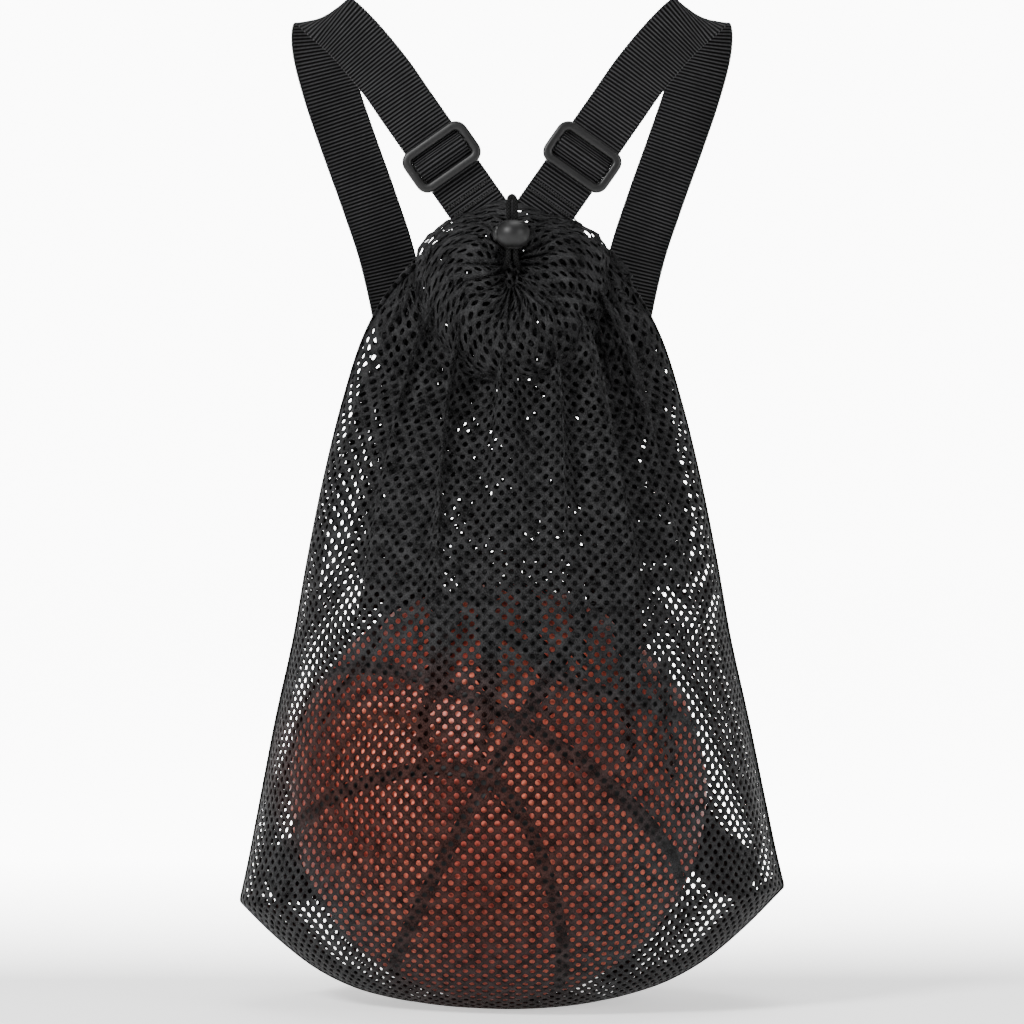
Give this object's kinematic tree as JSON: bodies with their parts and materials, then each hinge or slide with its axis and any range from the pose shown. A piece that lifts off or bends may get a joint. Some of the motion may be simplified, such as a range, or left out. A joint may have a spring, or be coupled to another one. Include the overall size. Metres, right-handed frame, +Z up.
{
  "type": "mesh ball bag",
  "caption": "Drawstring mesh bag holding one ball, with a sliding cord lock and two adjustable webbing shoulder straps sewn to its neck and lower corners.",
  "frame": {"origin": "on the ground under the middle of the bag, at the bottom centre of the whole object", "axes": "+Z up, from the base to the shoulder straps; -Y is the front, where the cord lock is; +Y is the wearer's side, with the straps; +X is to the right as seen from the front"},
  "size_m": [0.3162, 0.264, 0.579],
  "materials": {
    "mesh": "warp-knitted polyester mesh with round holes, matt",
    "binding": "narrow knitted seam tape, matt",
    "webbing": "ribbed polypropylene webbing, soft sheen",
    "thread": "twisted polyester sewing thread",
    "cord": "round braided elastic cord",
    "adjuster": "moulded plastic, fine satin",
    "lock": "moulded plastic, smooth",
    "spring": "drawn spring wire",
    "ball_leather": "pebbled composite leather",
    "channel_rubber": "moulded rubber, matt",
    "bladder_rubber": "butyl rubber"
  },
  "bodies": {
    "bag": {"front_mesh_panel": "mesh", "back_mesh_panel": "mesh", "side_seam_left": "binding", "side_seam_right": "binding", "bottom_binding": "binding", "drawstring_casing": "mesh", "hem_drawcord": "cord", "drawcord_loop": "cord"},
    "cord_lock": {"cord_lock_barrel": "lock", "cord_lock_spring": "spring"},
    "lock_button": {"cord_lock_button": "lock"},
    "strap_left": {"shoulder_strap_left": "webbing", "strap_neck_stitching_left": "thread", "strap_corner_stitching_left": "thread"},
    "adjuster_left": {"strap_adjuster_left": "adjuster", "adjuster_webbing_left": "webbing"},
    "strap_right": {"shoulder_strap_right": "webbing", "strap_neck_stitching_right": "thread", "strap_corner_stitching_right": "thread"},
    "adjuster_right": {"strap_adjuster_right": "adjuster", "adjuster_webbing_right": "webbing"},
    "ball": {"ball_cover": "ball_leather", "ball_channels": "channel_rubber", "ball_bladder": "bladder_rubber", "ball_valve": "channel_rubber"}
  },
  "joints": [
    {"name": "cord_lock_slide", "type": "slide", "parent": "bag", "child": "cord_lock", "axis": [0, 0, 1], "range_m": [-0.003, 0.008]},
    {"name": "lock_button_press", "type": "slide", "parent": "cord_lock", "child": "lock_button", "axis": [1, 0, 0], "range_m": [0, 0.002], "stiffness_N_per_m": 600, "springref_m": -0.001, "deforming": ["cord_lock_spring"]},
    {"name": "strap_left_swing", "type": "hinge", "parent": "bag", "child": "strap_left", "pos_m": [-0.02, -0.012, 0.458], "axis": [0.2898, -0.1401, 0.9468], "range_deg": [0, 20]},
    {"name": "strap_right_swing", "type": "hinge", "parent": "bag", "child": "strap_right", "pos_m": [0.02, -0.012, 0.458], "axis": [0.2898, 0.1401, -0.9468], "range_deg": [0, 20]},
    {"name": "adjuster_left_slide", "type": "slide", "parent": "strap_left", "child": "adjuster_left", "axis": [-0.5679, 0.1472, 0.8098], "range_m": [-0.006, 0.028]},
    {"name": "adjuster_right_slide", "type": "slide", "parent": "strap_right", "child": "adjuster_right", "axis": [0.5679, 0.1472, 0.8098], "range_m": [-0.006, 0.028]},
    {"name": "ball_turn", "type": "hinge", "parent": "bag", "child": "ball", "pos_m": [-0.008, 0, 0.1215], "axis": [0, 0, 1], "continuous": true}
  ]
}
